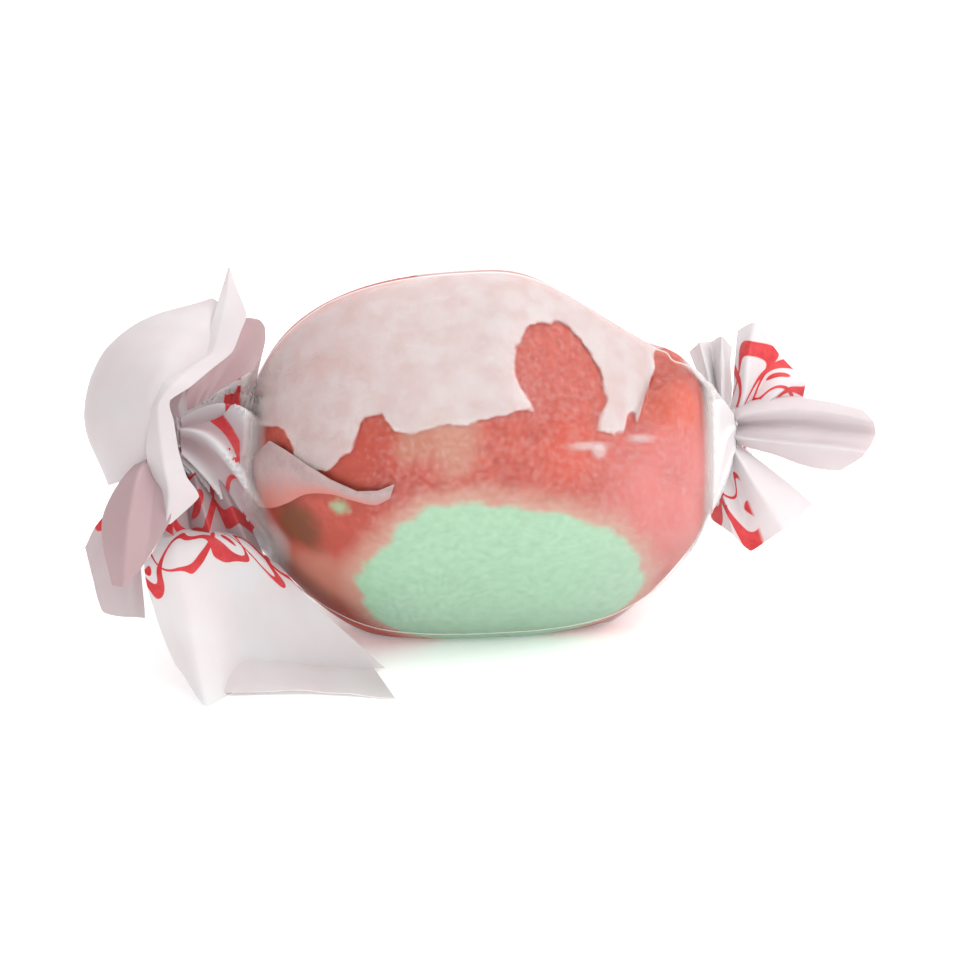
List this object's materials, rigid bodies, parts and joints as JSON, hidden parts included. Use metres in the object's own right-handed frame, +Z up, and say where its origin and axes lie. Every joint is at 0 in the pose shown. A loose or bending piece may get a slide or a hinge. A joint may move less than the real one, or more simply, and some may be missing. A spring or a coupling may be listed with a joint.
{
  "type": "wrapped taffy",
  "caption": "Slice of striped taffy rope with a green core in a red ring, wrapped in a waxed paper sheet twisted shut at both ends.",
  "frame": {"origin": "on the surface that the sweet rests on, under the middle of its box", "axes": "+X along the twist from one paper tail to the other, -Y the front that shows the cut face, +Z up"},
  "size_m": [0.0524, 0.0256, 0.0256],
  "materials": {
    "green_taffy": "satin",
    "red_taffy": "satin",
    "waxed_paper": "satin"
  },
  "bodies": {
    "root": {"core": "green_taffy", "shell": "red_taffy", "wrapper": "waxed_paper"}
  },
  "joints": []
}
